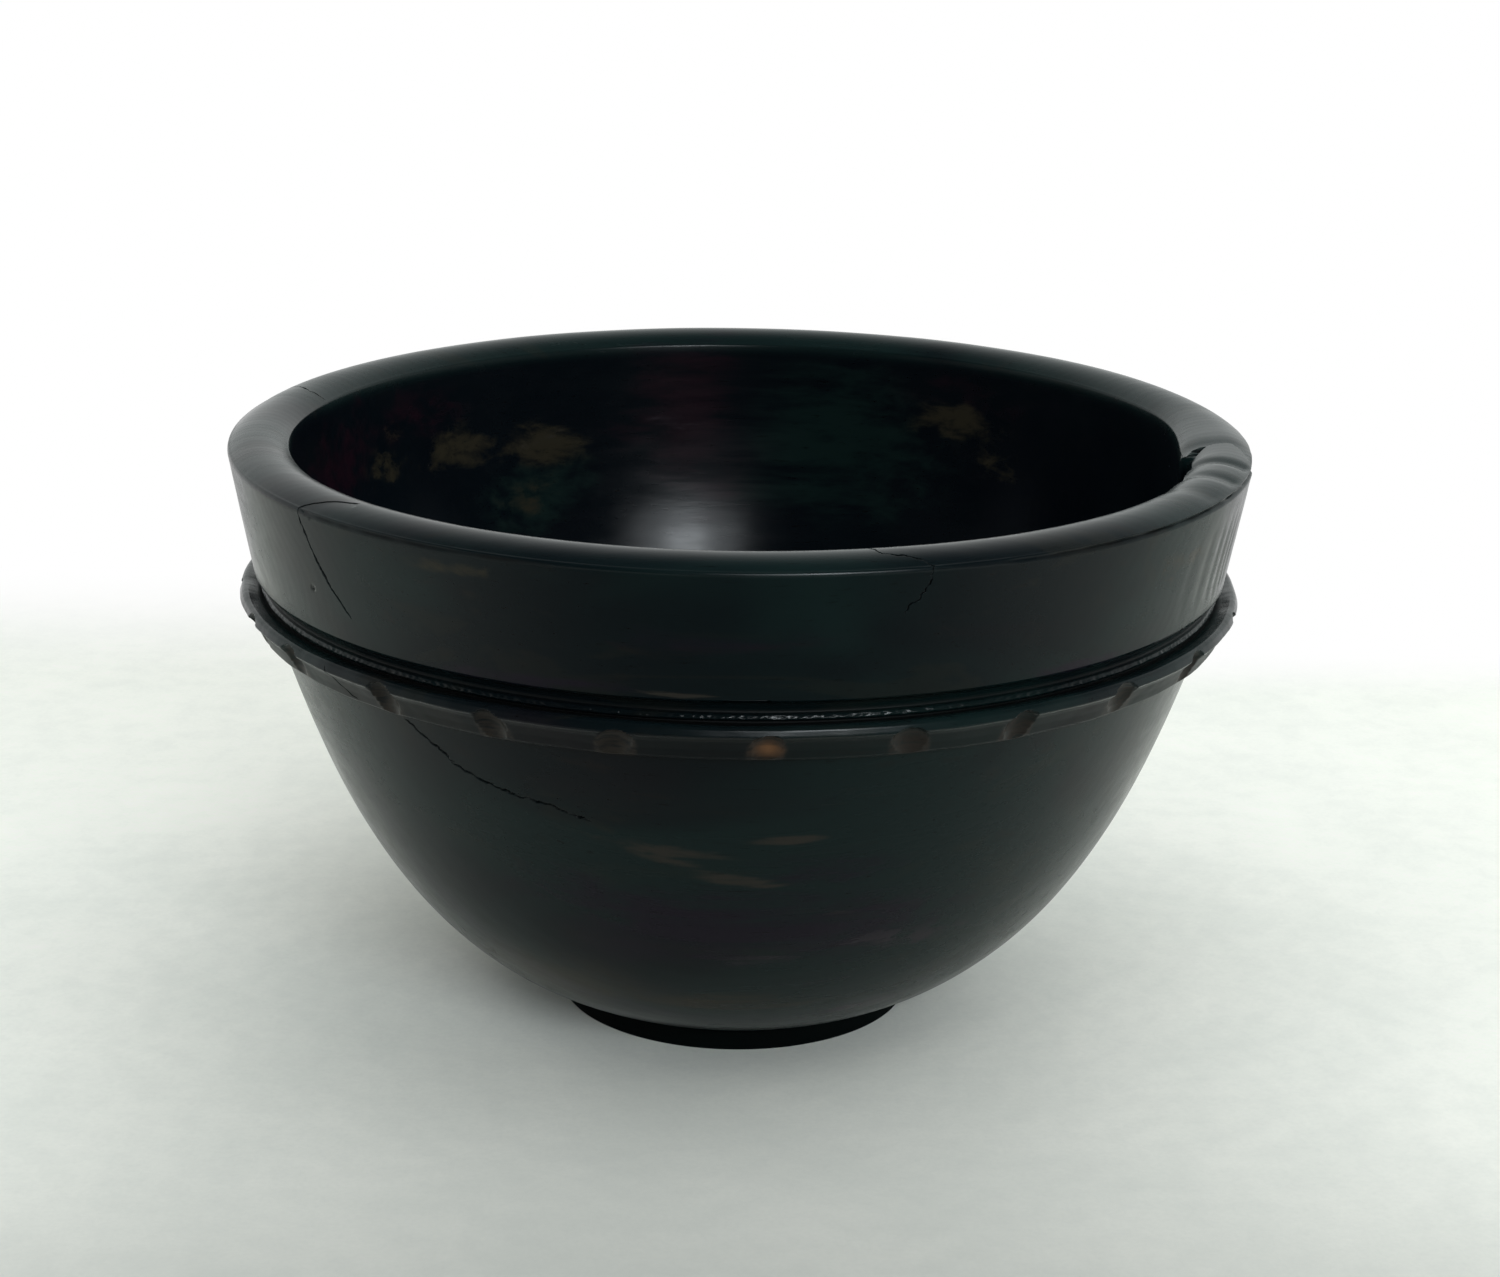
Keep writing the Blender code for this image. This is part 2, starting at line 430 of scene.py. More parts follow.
CRACKS = [
    # left: over the lip, down the band, across the ring, and in three ragged parts over the wall
    Crack(places((-45.5, "lip", 93.8), (-48.5, "lip", 95.8), (-51.0, "lip", 98.4),
                 (-52.0, "lip", 99.6), (-52.0, "out", 114.6)),
          0.07, 0.25, 1, step=0.12, reach=2.5, jitter=0.08),
    Crack(places((-52.0, "out", 115.0), (-51.9, "out", 113.5), (-50.2, "out", 107.0),
                 (-48.2, "out", 102.0), (-45.4, "out", 97.4)),
          0.22, 0.9, 10, jitter=0.14),
    Crack(places((-49.0, "out", 87.4), (-48.7, "out", 85.2), (-47.4, "out", 83.4),
                 (-45.5, "out", 82.0)),
          0.16, 0.6, 6, jitter=0.15),
    Crack(places((-40.6, "out", 79.2), (-38.2, "out", 76.6), (-36.0, "out", 74.6),
                 (-34.4, "out", 72.6)),
          0.19, 0.7, 2, jitter=0.3),
    Crack(places((-34.9, "out", 72.4), (-32.3, "out", 70.8), (-28.4, "out", 68.9),
                 (-26.2, "out", 68.0)),
          0.21, 0.8, 7, jitter=0.3),
    Crack(places((-26.8, "out", 68.4), (-22.6, "out", 67.4), (-17.2, "out", 65.0)),
          0.18, 0.7, 8, jitter=0.25),
    # front: over the lip, and a short way down the band
    Crack(places((12.6, "lip", 89.6), (13.6, "lip", 92.5), (14.4, "lip", 95.8),
                 (17.6, "lip", 97.8), (19.2, "lip", 99.6), (18.9, "out", 114.4)),
          0.15, 0.6, 3, jitter=0.3),
    Crack(places((18.9, "out", 114.2), (18.4, "out", 110.8), (16.5, "out", 107.6)),
          0.13, 0.5, 9, jitter=0.45),
    # right end of the lip, with a step beside it
    Crack(places(*[(angle, "lip", r) for angle, r in RIGHT_CRACK], (76.0, "out", 114.0)),
          0.18, 0.8, 4, step=0.6, reach=4.0),
    # back left of the lip
    Crack(places((-108.2, "lip", 98.2), (-107.4, "lip", 95.6), (-105.9, "lip", 91.6),
                 (-106.2, "lip", 88.6)),
          0.15, 0.5, 5),
]

# Behind the right crack the lip is thicker by this much, and this is where that has faded out
BULGE = 2.3
BULGE_END = 108.0

# Small pit in the band
PIT_ANGLE = -52.0
PIT_Z = 100.5
PIT_DEPTH = 0.35
PIT_R = 0.45

# Valleys across the lip in front of the right crack, and grain grooves down the band: angle,
# half width, depth.
LIP_VALLEYS = ((76.2, 1.3, 0.60), (69.0, 1.5, 0.45), (61.5, 2.2, 0.20))
BAND_GROOVES = ((57.0, 1.0, 0.05), (61.0, 0.9, 0.08), (64.5, 0.8, 0.12), (67.3, 0.8, 0.18),
                (69.8, 0.6, 0.18), (72.0, 0.7, 0.20))


def split_angle(s):
    """Angle of the crack at the right end of the lip, which the bulge starts from."""
    inwards = RIGHT_CRACK[::-1]
    at = [outline.lip(r) for _, r in inwards]
    return np.interp(s, at, [angle for angle, _ in inwards])


def growth_rings(x, y, z):
    """The wood's layers, as a phase: they lie across Y and bend slowly round a far pith."""
    centre_y, centre_z, thickness = 240.0, 30.0, 2.3
    radius = np.hypot(y - centre_y, z - centre_z)
    drift = waves(x / 7.0, y, z, 16.0, 11)
    return 2.0 * math.pi * (radius + 1.3 * drift) / thickness


def bump_at(s, centre, half_width):
    """1 at the centre, falling away smoothly on both sides."""
    return np.exp(-(((s - centre) / half_width) ** 2))


def weathering(x, y, z):
    """The wood's layers, strongest on its end grain, and the turner's slight waves."""
    end_grain = ramp(np.abs(x), 60.0, 96.0)
    layers = 0.5 * np.sin(growth_rings(x, y, z)) - 0.5
    total = (0.003 + 0.004 * end_grain) * layers
    total += 0.035 * waves(x, y, z, 22.0, 12) + 0.003 * waves(x / 3.0, y, z, 4.0, 13) - 0.06
    return total


def valley_depth(angle, s, z):
    """Depth of the valleys across the lip and of the grain grooves down the band."""
    lip_start, mouth = outline.starts["lip"], outline.starts["hollow"]
    on_lip = ramp(s, lip_start + 0.8, lip_start + 2.5) * (1.0 - ramp(s, mouth - 1.5, mouth + 2.0))
    total = np.zeros(s.shape)
    for middle, half_width, depth in LIP_VALLEYS:
        bend = 1.2 * np.sin((s - lip_start) / 4.0)
        total += depth * on_lip * bump_at(angle + bend, middle, half_width)
    on_band = ramp(z, BAND_Z + 1.0, BAND_Z + 5.0) * (1.0 - ramp(z, 106.0, 113.0))
    for middle, half_width, depth in BAND_GROOVES:
        groove = bump_at(angle + 0.3 * np.sin(z / 3.0), middle, half_width)
        total += depth * groove * on_band * (s < lip_start)
    return total


def crease_depth(angle, s, x, y, z):
    """Depth of the crease under the lip: deep on the right, finer on the left, faint in front."""
    right = ramp(angle, 20.0, 42.0)
    left = ramp(-angle, 18.0, 42.0) * (1.0 - ramp(-angle, 50.0, 52.0))
    behind = ramp(np.abs(angle), 100.0, 120.0)
    depth = 0.50 * right + 0.22 * left + 0.18 * behind + 0.02
    ragged = 1.0 + 0.3 * waves(x, y, z, 4.0, 16)
    return depth * ragged * bump_at(s, outline.starts["lip"] + 0.55, 0.42)


def ring_relief(s, x, y, z):
    """Slight waves of the carved ring."""
    starts = outline.starts
    on_ring = ramp(s, starts["ring"] + 0.5, starts["ring"] + 1.5)
    on_ring *= 1.0 - ramp(s, starts["fillet"] - 1.5, starts["fillet"])
    return on_ring * (0.06 * waves(x, y, z, 8.0, 17) + 0.010 * waves(x, y, z, 2.5, 18))


def ridge_relief(s, x, y, z):
    """Rough top of the thin ridge."""
    on_ridge = bump_at(s, outline.outside(RIDGE_Z), 0.45)
    return on_ridge * (0.06 * waves(x, y, z, 0.9, 14) + 0.04 * waves(x, y, z, 3.0, 15))


def pit_depth(angle, s, r, z):
    distance = np.hypot(np.radians(angle - PIT_ANGLE) * r, z - PIT_Z)
    return bump_at(distance, 0.0, PIT_R) * PIT_DEPTH * (s < outline.starts["lip"])


def relief(angle, s):
    """Carved and weathered relief along the surface's normal, in mm, with a flat underside."""
    r, z, _, _ = outline.at(s)
    turn = np.radians(angle)
    x, y = r * np.sin(turn), -r * np.cos(turn)
    total = weathering(x, y, z) + ring_relief(s, x, y, z) + ridge_relief(s, x, y, z)
    total -= valley_depth(angle, s, z) + crease_depth(angle, s, x, y, z)
    total -= pit_depth(angle, s, r, z)
    for crack in CRACKS:
        total += crack.displacement(angle, s)
    return total * ramp(z, 0.3, 3.0)


def bulge(angle, s):
    """How far the lip's inner side comes in behind the right crack."""
    start = split_angle(s)
    past = angle - start
    grown = BULGE * ramp(past, -0.15, 0.15) * (1.0 - ramp(past, 4.0, BULGE_END - start))
    mouth = outline.starts["hollow"]
    inner = ramp(s, outline.lip(95.0), outline.lip(89.0)) * (1.0 - ramp(s, mouth + 2.0, mouth + 30.0))
    return grown * inner


def out_of_round(turn, r, z):
    """Slight loss of roundness towards the rim, always inwards, inside the part's own size."""
    wobble = 0.08 * (np.sin(2 * turn + 0.6) + 0.5 * np.sin(3 * turn + 2.0)) - 0.12
    return wobble * np.clip(r / RIM_R, 0.0, 1.0) * np.clip(z / 20.0, 0.0, 1.0)


def surface(angle, s):
    """Points of the finished surface in mm."""
    r, z, normal_r, normal_z = outline.at(s)
    turn = np.radians(angle)
    moved = relief(angle, s)
    radius = r + moved * normal_r
    height = z + moved * normal_z
    on_ring = (s > outline.starts["ring"]) & (s < outline.starts["ring_end"])
    if on_ring.any():
        floor, _ = cut_radius(angle[on_ring], z[on_ring])
        deepest = np.minimum(radius[on_ring], WALL_TOP_R + 1.5)
        radius[on_ring] = np.maximum(np.minimum(radius[on_ring], floor), deepest)
    radius += out_of_round(turn, r, z) - bulge(angle, s)
    return np.stack([radius * np.sin(turn), -radius * np.cos(turn), height], -1)


def surface_normals(angle, s):
    """Outward unit normals of the finished surface, from small steps across it."""
    step = 0.06
    r = np.maximum(outline.at(s)[0], 1.0)
    turn = np.degrees(step / r)
    before = np.clip(s - step, 0, outline.length)
    after = np.clip(s + step, 0, outline.length)
    along = surface(angle, after) - surface(angle, before)
    across = surface(angle + turn, s) - surface(angle - turn, s)
    normal = np.cross(across, along)
    length = np.linalg.norm(normal, axis=-1, keepdims=True)
    return normal / np.maximum(length, 1e-9)


# ---- meshes

# The mesh is split finer within these distances of a crack, one after another
REFINED_WITHIN = (1.2, 0.7, 0.45)

# Angles and distances closer than this are the same
SAME = 1e-4


def sheet(rows, columns):
    """Grid of (angle, s) places, refined near the cracks: its points and its faces."""
    angles = np.linspace(-180.0, 180.0, columns + 1)
    grid = np.stack(np.meshgrid(angles, rows), -1).reshape(-1, 2)
    across = columns + 1
    i, j = np.meshgrid(np.arange(len(rows) - 1), np.arange(columns), indexing="ij")
    first = (i * across + j).ravel()
    faces = np.stack([first, first + 1, first + across + 1, first + across], 1)
    bm = bmesh.new()
    made = [bm.verts.new((a, s, 0.0)) for a, s in grid]
    for face in faces:
        bm.faces.new([made[k] for k in face])
    for reach in REFINED_WITHIN:
        refine(bm, reach)
    bm.verts.ensure_lookup_table()
    bm.verts.index_update()
    points = np.array([v.co[:2] for v in bm.verts])
    polygons = [[v.index for v in f.verts] for f in bm.faces]
    bm.free()
    return points, polygons


def refine(bm, reach):
    """Splits in four every face within reach of a crack."""
    bm.faces.ensure_lookup_table()
    centres = np.array([f.calc_center_median()[:2] for f in bm.faces])
    picked = np.zeros(len(centres), bool)
    for crack in CRACKS:
        close = np.nonzero(crack.in_reach(centres[:, 0], centres[:, 1], reach))[0]
        if len(close):
            distance = crack.distance(centres[close, 0], centres[close, 1])[0]
            picked[close[distance < reach]] = True
    edges = {e for k in np.nonzero(picked)[0] for e in bm.faces[k].edges}
    if edges:
        ordered = sorted(edges, key=lambda e: e.index)
        bmesh.ops.subdivide_edges(bm, edges=ordered, cuts=1, use_grid_fill=True)
        bm.edges.index_update()


def border(points, s):
    """Indices of the sheet's points on row s, in order of angle, without the repeated last."""
    on_row = np.nonzero(np.abs(points[:, 1] - s) < SAME)[0]
    ordered = on_row[np.argsort(points[on_row, 0])]
    return ordered[:-1]


def closing_faces(loop_a, angles_a, loop_b, angles_b):
    """Triangles between two rings of points with different counts."""
    faces, i, j = [], 0, 0
    count_a, count_b = len(loop_a), len(loop_b)
    past_a = np.append(angles_a[1:], (180.0, np.inf))
    past_b = np.append(angles_b[1:], (180.0, np.inf))
    while i < count_a or j < count_b:
        a, b = loop_a[i % count_a], loop_b[j % count_b]
        if past_a[i] <= past_b[j]:
            i += 1
            faces.append((a, loop_a[i % count_a], b))
        else:
            j += 1
            faces.append((a, loop_b[j % count_b], b))
    return faces


def zone_rows(start, end, spacing):
    """Evenly spaced distances along one stretch of the outline."""
    return np.linspace(start, end, max(2, int(round((end - start) / spacing)) + 1))


def zone_mesh(name, intervals, columns):
    """Closed mesh of one zone from one or two stretches (start, end, spacing) of the outline."""
    points, polygons, borders, sheet_of = [], [], [], []
    offset = 0
    for number, (start, end, spacing) in enumerate(intervals):
        sheet_points, sheet_faces = sheet(zone_rows(start, end, spacing), columns)
        polygons += [[k + offset for k in face] for face in sheet_faces]
        for s in (start, end):
            borders.append(border(sheet_points, s) + offset)
        points.append(sheet_points)
        sheet_of += [number] * len(sheet_points)
        offset += len(sheet_points)
    points = np.concatenate(points)
    angle, s = points[:, 0], points[:, 1]
    co = surface(angle, s)
    normals = surface_normals(angle, s)
    same = weld_map(points, sheet_of, borders, intervals)
    polygons = [drop_repeats([same[k] for k in face]) for face in polygons]
    polygons = [face for face in polygons if len(face) > 2]
    loops = [b for b, pole in zip(borders, pole_flags(intervals)) if not pole]
    caps = close_ends(loops, angle)
    made, used = build(name, co, normals, polygons, caps)
    return made, angle[used], s[used]


def close_ends(loops, angle):
    """Flat faces that close a zone above and below; loops run outside up, then inside down."""
    def ring(a, b):
        return closing_faces(loops[a], angle[loops[a]], loops[b], angle[loops[b]])

    if len(loops) == 1:
        return [tuple(loops[0])]
    if len(loops) == 2:
        return ring(1, 0)
    if len(loops) == 3:
        return ring(1, 2) + [tuple(loops[0][::-1])]
    return ring(1, 2) + ring(3, 0)


def build(name, co, normals, polygons, caps):
    """Makes the object, with the surface's own normals so that zones join without a seam."""
    polygons = polygons + [tuple(face) for face in caps]
    used = np.unique(np.concatenate([np.asarray(face) for face in polygons]))
    renumber = np.full(len(co), -1)
    renumber[used] = np.arange(len(used))
    polygons = [[int(renumber[k]) for k in face] for face in polygons]
    mesh = bpy.data.meshes.new(name)
    mesh.from_pydata((co[used] * MM).tolist(), [], polygons)
    mesh.polygons.foreach_set("use_smooth", [True] * len(mesh.polygons))
    corner = np.zeros(len(mesh.loops), int)
    mesh.loops.foreach_get("vertex_index", corner)
    split = normals[used][corner]
    first_cap = len(polygons) - len(caps)
    for polygon in mesh.polygons[first_cap:]:
        split[polygon.loop_start:polygon.loop_start + polygon.loop_total] = polygon.normal
    mesh.normals_split_custom_set(split.tolist())
    made = bpy.data.objects.new(name, mesh)
    bpy.context.scene.collection.objects.link(made)
    return made, used


def pole_flags(intervals):
    """For each border, whether it is a point on the axis and not a ring."""
    flags = []
    for start, end, _ in intervals:
        flags += [start <= 0.0, end >= outline.length - 1e-6]
    return flags


def weld_map(points, sheet_of, borders, intervals):
    """For each point, the point it is merged into: the seam at the back, and the poles."""
    same = np.arange(len(points))
    first_column = {}
    for k in np.nonzero(points[:, 0] < SAME - 180.0)[0]:
        first_column[sheet_of[k], round(float(points[k, 1]), 4)] = k
    for k in np.nonzero(points[:, 0] > 180.0 - SAME)[0]:
        same[k] = first_column[sheet_of[k], round(float(points[k, 1]), 4)]
    for loop, pole in zip(borders, pole_flags(intervals)):
        if pole:
            row = points[loop[0], 1]
            same[np.abs(points[:, 1] - row) < SAME] = loop[0]
    return same


def drop_repeats(face):
    """The face without corners that were merged into the one before."""
    return [k for i, k in enumerate(face) if k != face[i - 1]]


def add_mask(mesh, name, values):
    """Stores a 0 to 1 value at each point, for the material to read."""
    attribute = mesh.attributes.new(name, "FLOAT", "POINT")
    attribute.data.foreach_set("value", np.asarray(values, np.float32))


# Stained patches: place along X, height, half length along the grain, half height across it,
# strength, and for some their slope.  The outside's are on the front, and the inside's are on
# the hollow's far wall.
OUTSIDE_PATCHES = {
    "pale": [
        (-12.4, 60.5, 13.0, 1.4, 0.75, -0.1), (11.4, 63.4, 8.0, 0.9, 0.75, 0.1),
        (-8.0, 56.9, 16.0, 1.1, 0.75, -0.25), (1.8, 53.6, 9.0, 0.9, 0.85, -0.12),
        (13.1, 46.5, 7.0, 1.0, 0.6, -0.1),
        (-24.0, 62.0, 6.0, 1.2, 0.35), (-9.8, 92.9, 7.0, 0.5, 1.0), (79.0, 104.5, 3.0, 2.5, 0.35),
    ],
    "purple": [
        (17.0, 56.1, 12.0, 3.5, 0.6), (-6.1, 44.7, 28.0, 7.5, 0.9), (16.0, 42.0, 20.0, 6.5, 0.85),
        (-15.0, 38.6, 16.0, 5.0, 0.7), (-33.8, 93.4, 14.0, 1.0, 0.8), (-6.4, 103.6, 26.0, 2.5, 0.3),
        (-48.0, 92.6, 6.0, 0.8, 0.6), (60.0, 92.8, 12.0, 0.9, 0.8),
    ],
    "lilac": [
        (31.0, 37.6, 11.0, 2.4, 0.7), (4.8, 34.5, 9.0, 1.4, 0.5), (24.0, 17.5, 8.0, 1.8, 0.8),
        (16.0, 29.0, 14.0, 2.0, 0.4), (-33.0, 46.5, 6.0, 1.0, 0.4),
    ],
    "olive": [
        (-6.2, 20.5, 22.0, 3.0, 0.5), (-34.0, 22.0, 16.0, 7.0, 0.9), (-23.9, 63.6, 12.0, 3.0, 0.3),
        (-51.0, 112.6, 9.0, 1.2, 0.7), (81.0, 106.8, 6.0, 2.0, 0.6),
    ],
}
INSIDE_PATCHES = {
    "pale": [(-47.0, 96.6, 2.2, 2.0, 0.5), (-41.0, 97.2, 3.0, 0.9, 0.4)],
    "purple": [
        (-12.0, 102.0, 9.0, 13.0, 1.0), (-20.5, 97.7, 9.0, 4.0, 0.8), (-9.0, 86.0, 11.0, 8.0, 0.5),
        (-82.6, 102.0, 4.0, 9.0, 0.8), (-68.8, 106.0, 9.0, 6.0, 0.45), (48.0, 108.0, 16.0, 5.0, 0.3),
    ],
    "lilac": [(-17.0, 98.0, 9.0, 2.2, 0.6)],
    "green": [(22.0, 95.0, 17.0, 14.0, 1.0), (-44.3, 86.0, 9.0, 6.0, 1.0), (4.0, 84.0, 10.0, 6.0, 0.5)],
    "olive": [
        (-61.0, 97.1, 5.5, 3.6, 1.0), (-43.4, 95.1, 7.0, 3.8, 1.0), (-46.5, 84.5, 6.0, 4.0, 0.5),
        (46.0, 102.0, 8.0, 3.2, 0.9), (56.6, 93.4, 5.0, 3.0, 0.5), (-75.0, 98.0, 3.0, 3.5, 0.5),
        (-73.0, 104.0, 3.0, 2.0, 0.4),
    ],
}
PATCH_NAMES = ("pale", "purple", "lilac", "olive", "green")

# The spot that is worn through the stain, in the cut nearest the front
WORN_ANGLE = 3.3
WORN_Z = RING_Z + 3.0


def patch_mask(x, z, patches):
    """Soft patches, long and ragged along the grain."""
    mask = np.zeros(x.shape)
    for number, (middle, height, half_length, half_height, strength, *slope) in enumerate(patches):
        bend = 0.3 * half_height * waves(x, 0 * x, 0 * x, half_length, number + 60, 8)
        bend += sum(slope) * (x - middle)
        reach = ((x - middle) / half_length) ** 2 + ((z - height - bend) / half_height) ** 2
        mask = np.maximum(mask, strength * np.exp(-0.8 * reach))
    return mask


def crease_painted_shade(angle, s):
    """Ragged black line of painted shade in the crease, on the right and on the left but not in front.
    """
    right = 0.6 * ramp(angle, 24.0, 42.0) * (1.0 - 0.6 * ramp(angle, 52.0, 66.0))
    left = 0.6 * ramp(-angle, 16.0, 24.0) * (1.0 - ramp(-angle, 46.0, 52.0))
    ragged = np.clip(1.0 + 0.35 * waves(angle, 0 * angle, s, 1.6, 19), 0.3, 1.2)
    return (right + left) * ragged * bump_at(s, outline.starts["lip"] + 0.35, 0.4)


def painted_shade_mask(angle, s):
    """Painted shade, black and dull: on the foot, the ring's face, in corners and in the crease."""
    starts = outline.starts
    edge = outline.outside(RING_EDGE_Z)
    foot = 1.0 - ramp(s, starts["wall"] - 0.5, starts["wall"])
    ring_face = ramp(s, starts["ring"] + 0.5, starts["ring"] + 1.5)
    ring_face *= 1.0 - ramp(s, edge - 1.0, edge - 0.3)
    # The foot is painted black all over and the ring's face painted darker: both are painted shade
    mask = np.maximum(0.72 * foot, 0.35 * ring_face)
    # Painted shade in the cove's foot, in the groove and in the ring's lower corner
    corners = (
        (outline.outside(COVE_Z + 0.05), 0.45, 0.5),
        (starts["fillet"] - 0.3, 0.9, 0.85),
        (outline.outside(RING_CORNER_Z), 0.4, 0.8),
    )
    for place, half_width, strength in corners:
        mask = np.maximum(mask, strength * bump_at(s, place, half_width))
    return np.maximum(mask, crease_painted_shade(angle, s))


def cut_mask(angle, s, z):
    """1 inside the gouge cuts, and softer at their edges."""
    _, inside = cut_radius(angle, z)
    on_ring = (s > outline.starts["ring"] - 0.3) & (s < outline.starts["ring_end"])
    return np.where(on_ring, inside, 0.0)


def worn_mask(angle, z):
    spread = (angle_between(angle, WORN_ANGLE) / 1.3) ** 2 + ((z - WORN_Z) / 1.5) ** 2
    return np.exp(-spread)


def crack_mask(angle, s):
    """1 down in the cracks, falling to 0 just outside their edges."""
    mask = np.zeros(s.shape)
    for crack in CRACKS:
        close = crack.in_reach(angle, s, 1.0)
        if close.any():
            distance, _, piece = crack.distance(angle[close], s[close])
            width = crack.widths[piece]
            here = 1.0 - ramp(distance, 0.3 * width, 1.3 * width)
            mask[close] = np.maximum(mask[close], here)
    return mask


def add_masks(made, angle, s):
    """Gives a piece every mask that the wood's material reads."""
    r, z, _, _ = outline.at(s)
    turn = np.radians(angle)
    x, y = r * np.sin(turn), -r * np.cos(turn)
    mouth = outline.starts["hollow"]
    cut = cut_mask(angle, s, z)
    add_mask(made.data, "cut", cut)
    add_mask(made.data, "worn", cut * worn_mask(angle, z))
    # Where the cracks are, which the wood's material paints black as painted shade
    add_mask(made.data, "crack", crack_mask(angle, s))
    # Painted shade mask, kept mostly out of the gouge cuts
    add_mask(made.data, "painted_shade", painted_shade_mask(angle, s) * (1.0 - 0.9 * cut))
    # Where the hollow is: the wood's material paints shade there
    add_mask(made.data, "hollow", ramp(s, mouth - 1.0, mouth + 3.0))
    outside = s < outline.starts["lip"]
    front = outside & (y < 0)
    back = ~outside & (y > 0)
    for name in PATCH_NAMES:
        shown = np.where(front, patch_mask(x, z, OUTSIDE_PATCHES.get(name, [])), 0.0)
        shown = np.where(back, patch_mask(x, z, INSIDE_PATCHES.get(name, [])), shown)
        add_mask(made.data, name, shown)


# ---- materials

class Nodes:
    """Short names for building a material's nodes."""

    def __init__(self, tree):
        self.tree = tree
        tree.nodes.clear()

    def add(self, kind, **inputs):
        """Node with its inputs given by name, with _ for a space."""
        node = self.tree.nodes.new(kind)
        for name, value in inputs.items():
            self.put(node.inputs[name.replace("_", " ")], value)
        return node

    def put(self, socket, value):
        """Links a socket's value, or sets a plain one."""
        if isinstance(value, bpy.types.NodeSocket):
            self.tree.links.new(value, socket)
        else:
            socket.default_value = value

    def math(self, operation, *values):
        node = self.tree.nodes.new("ShaderNodeMath")
        node.operation = operation
        for socket, value in zip(node.inputs, values):
            self.put(socket, value)
        return node.outputs[0]

    def mix(self, factor, a, b):
        node = self.tree.nodes.new("ShaderNodeMix")
        node.data_type = "RGBA"
        self.put(node.inputs["Factor"], factor)
        self.put(node.inputs[6], a)
        self.put(node.inputs[7], b)
        return node.outputs[2]

    def fade(self, value, low, high, out_low=0.0, out_high=1.0):
        """out_low below low, out_high above high, smooth between."""
        node = self.tree.nodes.new("ShaderNodeMapRange")
        node.interpolation_type = "SMOOTHSTEP"
        for socket, given in zip(node.inputs, (value, low, high, out_low, out_high)):
            self.put(socket, given)
        return node.outputs[0]

    def stretched(self, place, scale, offset=(0.0, 0.0, 0.0)):
        node = self.add("ShaderNodeMapping", Vector=place, Scale=scale, Location=offset)
        return node.outputs[0]

    def noise(self, place, scale, detail=4.0, rough=0.5, distortion=0.0):
        node = self.add("ShaderNodeTexNoise", Vector=place, Scale=scale, Detail=detail,
                        Roughness=rough, Distortion=distortion)
        return node.outputs[0]

    def mask(self, name):
        node = self.tree.nodes.new("ShaderNodeAttribute")
        node.attribute_name = name
        return node.outputs["Fac"]


def colour(r, g, b):
    return (r, g, b, 1.0)


HOLLOW_SHADE = colour(0.0016, 0.0030, 0.0052)
NAVY = colour(0.0028, 0.0060, 0.0076)
TEAL = colour(0.0050, 0.0138, 0.0138)
GREEN = colour(0.0048, 0.0132, 0.0124)
OLIVE = colour(0.0230, 0.0205, 0.0130)
PURPLE = colour(0.0098, 0.0038, 0.0072)
DUSK = colour(0.0090, 0.0066, 0.0132)
LILAC = colour(0.0220, 0.0190, 0.0240)
BROWN = colour(0.0130, 0.0090, 0.0075)
PALE = colour(0.0275, 0.0255, 0.0210)
WORN = colour(0.1700, 0.0850, 0.0400)
CUT = colour(0.0240, 0.0200, 0.0165)
BLACK = colour(0.0006, 0.0005, 0.0005)


FINISH_IOR = 1.35


def grain_noises(n):
    """The wood's noises, long along its grain (X): patches, streaks, pores and layers."""
    place = n.add("ShaderNodeTexCoord").outputs["Object"]
    return {
        "broad": n.noise(n.stretched(place, (9.0, 22.0, 26.0)), 1.0, 3.0, 0.55, 0.6),
        "other": n.noise(n.stretched(place, (8.0, 20.0, 24.0), (3.1, 1.7, 5.2)), 1.0, 3.0, 0.55, 0.6),
        "streak": n.noise(n.stretched(place, (22.0, 260.0, 300.0)), 1.0, 4.0, 0.6, 0.3),
        "fine": n.noise(n.stretched(place, (90.0, 1400.0, 1600.0)), 1.0, 3.0, 0.6),
        "layer": n.noise(n.stretched(place, (6.0, 90.0, 110.0), (0.4, 0.9, 0.2)), 1.0, 2.0, 0.5, 1.2),
        "ragged": n.noise(n.stretched(place, (70.0, 190.0, 170.0)), 1.0, 5.0, 0.65, 0.6),
    }


def plain_wood(n, grain):
    """The stain's own drift of colour, with painted shade in the hollow."""
    base = n.mix(n.fade(grain["broad"], 0.36, 0.56), NAVY, TEAL)
    base = n.mix(n.fade(grain["other"], 0.56, 0.74, 0.0, 0.6), base, PURPLE)
    base = n.mix(n.fade(grain["streak"], 0.58, 0.76, 0.0, 0.35), base, BROWN)
    base = n.mix(n.fade(grain["layer"], 0.58, 0.66, 0.0, 0.15), base, OLIVE)
    # Painted shade: darker in the hollow
    return n.mix(n.fade(n.mask("hollow"), 0.0, 1.0, 0.0, 0.9), base, HOLLOW_SHADE)


def with_patches(n, grain, base):
    """The stained patches, whose edges break up into threads along the grain."""
    threads = n.math("MULTIPLY", n.math("SUBTRACT", grain["streak"], 0.5), 2.2)
    ragged = n.math("MULTIPLY", n.math("SUBTRACT", grain["ragged"], 0.5), 0.8)
    threads = n.math("ADD", threads, ragged)
    dusk = n.mix(n.mask("hollow"), DUSK, PURPLE)
    tints = (("green", GREEN, 0.5), ("purple", dusk, 0.5), ("olive", OLIVE, 0.35),
             ("lilac", LILAC, 0.3), ("pale", PALE, 0.25))
    for name, tint, soft in tints:
        shown = n.fade(n.math("ADD", n.mask(name), threads), 0.5 - soft, 0.55 + soft)
        shown = n.math("MULTIPLY", shown, n.fade(n.mask(name), 0.05, 0.35))
        base = n.mix(shown, base, tint)
    return base


